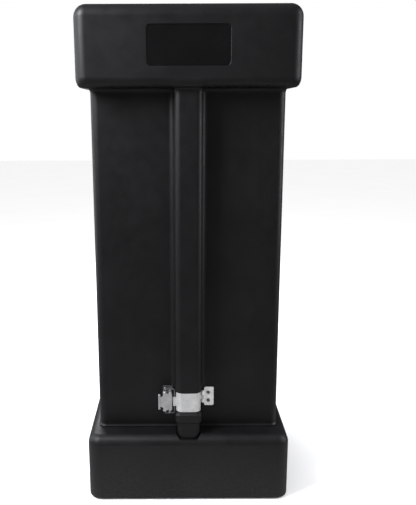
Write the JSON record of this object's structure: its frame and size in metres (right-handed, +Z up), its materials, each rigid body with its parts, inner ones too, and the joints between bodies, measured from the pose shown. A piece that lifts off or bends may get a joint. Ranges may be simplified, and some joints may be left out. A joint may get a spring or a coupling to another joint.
{
  "type": "presentation lectern",
  "caption": "Free-standing moulded lectern: head with sloped reading surface on a box column with a front rib for a mast, clamp strap with toggle latch, wide base, rear transport wheels.",
  "frame": {"origin": "middle of the base footprint, on the floor", "axes": "+Z up; the audience side faces -Y and the speaker stands on the +Y side; +X is to the right as the audience sees it"},
  "size_m": [0.5, 0.45, 1.18],
  "materials": {
    "shell": "black, fine leather grain, satin",
    "smooth_black": "smooth black",
    "desk_board": "fine matt grain",
    "dark_steel": "dark zinc",
    "zinc_plate": "bright zinc, fine brushed",
    "aluminium": "drawn tube, satin",
    "rubber": "matt",
    "tyre": "matt rubber tread"
  },
  "bodies": {
    "lectern": {"base_shell": "shell", "base_pan": "smooth_black", "body_shell": "shell", "nameplate_panel": "smooth_black", "reading_panel": "desk_board", "book_stop": "smooth_black", "book_stop_screw_1": "dark_steel", "book_stop_screw_2": "dark_steel", "shelf": "desk_board", "shelf_rail_left": "smooth_black", "shelf_rail_right": "smooth_black", "ceiling_panel": "smooth_black", "rail_screw_1": "dark_steel", "rail_screw_2": "dark_steel", "rail_screw_3": "dark_steel", "rail_screw_4": "dark_steel", "ceiling_screw_1": "dark_steel", "ceiling_screw_2": "dark_steel", "ceiling_screw_3": "dark_steel", "ceiling_screw_4": "dark_steel", "body_bolt_1": "dark_steel", "body_bolt_2": "dark_steel", "body_bolt_3": "dark_steel", "body_bolt_4": "dark_steel", "pan_screw_1": "dark_steel", "pan_screw_2": "dark_steel", "pan_screw_3": "dark_steel", "pan_screw_4": "dark_steel", "rubber_foot_1": "rubber", "rubber_foot_2": "rubber", "rubber_foot_3": "rubber", "rubber_foot_4": "rubber", "wheel_axle": "dark_steel", "axle_cap_left": "dark_steel", "axle_cap_right": "dark_steel", "mast_socket": "shell", "socket_screw_1": "dark_steel", "socket_screw_2": "dark_steel", "hinge_plate": "zinc_plate", "hinge_pin": "zinc_plate", "hinge_screw_1": "zinc_plate", "hinge_screw_2": "zinc_plate", "latch_base": "zinc_plate", "latch_screw_1": "zinc_plate", "latch_screw_2": "zinc_plate", "latch_pin": "zinc_plate"},
    "strap": {"clamp_strap": "zinc_plate"},
    "lever": {"latch_lever": "zinc_plate"},
    "bail": {"latch_bail": "zinc_plate"},
    "mast": {"mast_tube": "aluminium", "mast_cap": "smooth_black", "mast_plug": "rubber"},
    "wheel_left": {"wheel_hub_left": "smooth_black", "tyre_left": "tyre"},
    "wheel_right": {"wheel_hub_right": "smooth_black", "tyre_right": "tyre"}
  },
  "joints": [
    {"name": "strap_swing", "type": "hinge", "parent": "lectern", "child": "strap", "pos_m": [0.0366, -0.1695, 0.25275], "axis": [0, 0, 1], "range_deg": [0, 90]},
    {"name": "lever_swing", "type": "hinge", "parent": "lectern", "child": "lever", "pos_m": [-0.0448, -0.1935, 0.252], "axis": [0, 0, 1], "range_deg": [0, 99]},
    {"name": "bail_swing", "type": "hinge", "parent": "lever", "child": "bail", "pos_m": [-0.058, -0.192, 0.252], "axis": [0, 0, 1], "range_deg": [-198, 0]},
    {"name": "mast_slide", "type": "slide", "parent": "lectern", "child": "mast", "axis": [0, 0, 1], "range_m": [0, 0.6]},
    {"name": "wheel_left_turn", "type": "hinge", "parent": "lectern", "child": "wheel_left", "pos_m": [-0.176, 0.184, 0.0435], "axis": [1, 0, 0], "continuous": true},
    {"name": "wheel_right_turn", "type": "hinge", "parent": "lectern", "child": "wheel_right", "pos_m": [0.176, 0.184, 0.0435], "axis": [1, 0, 0], "continuous": true}
  ],
  "couplings": [
    {"joint": "lever_swing", "follows": "strap_swing", "ratio": 1.1},
    {"joint": "bail_swing", "follows": "strap_swing", "ratio": -2.2}
  ]
}
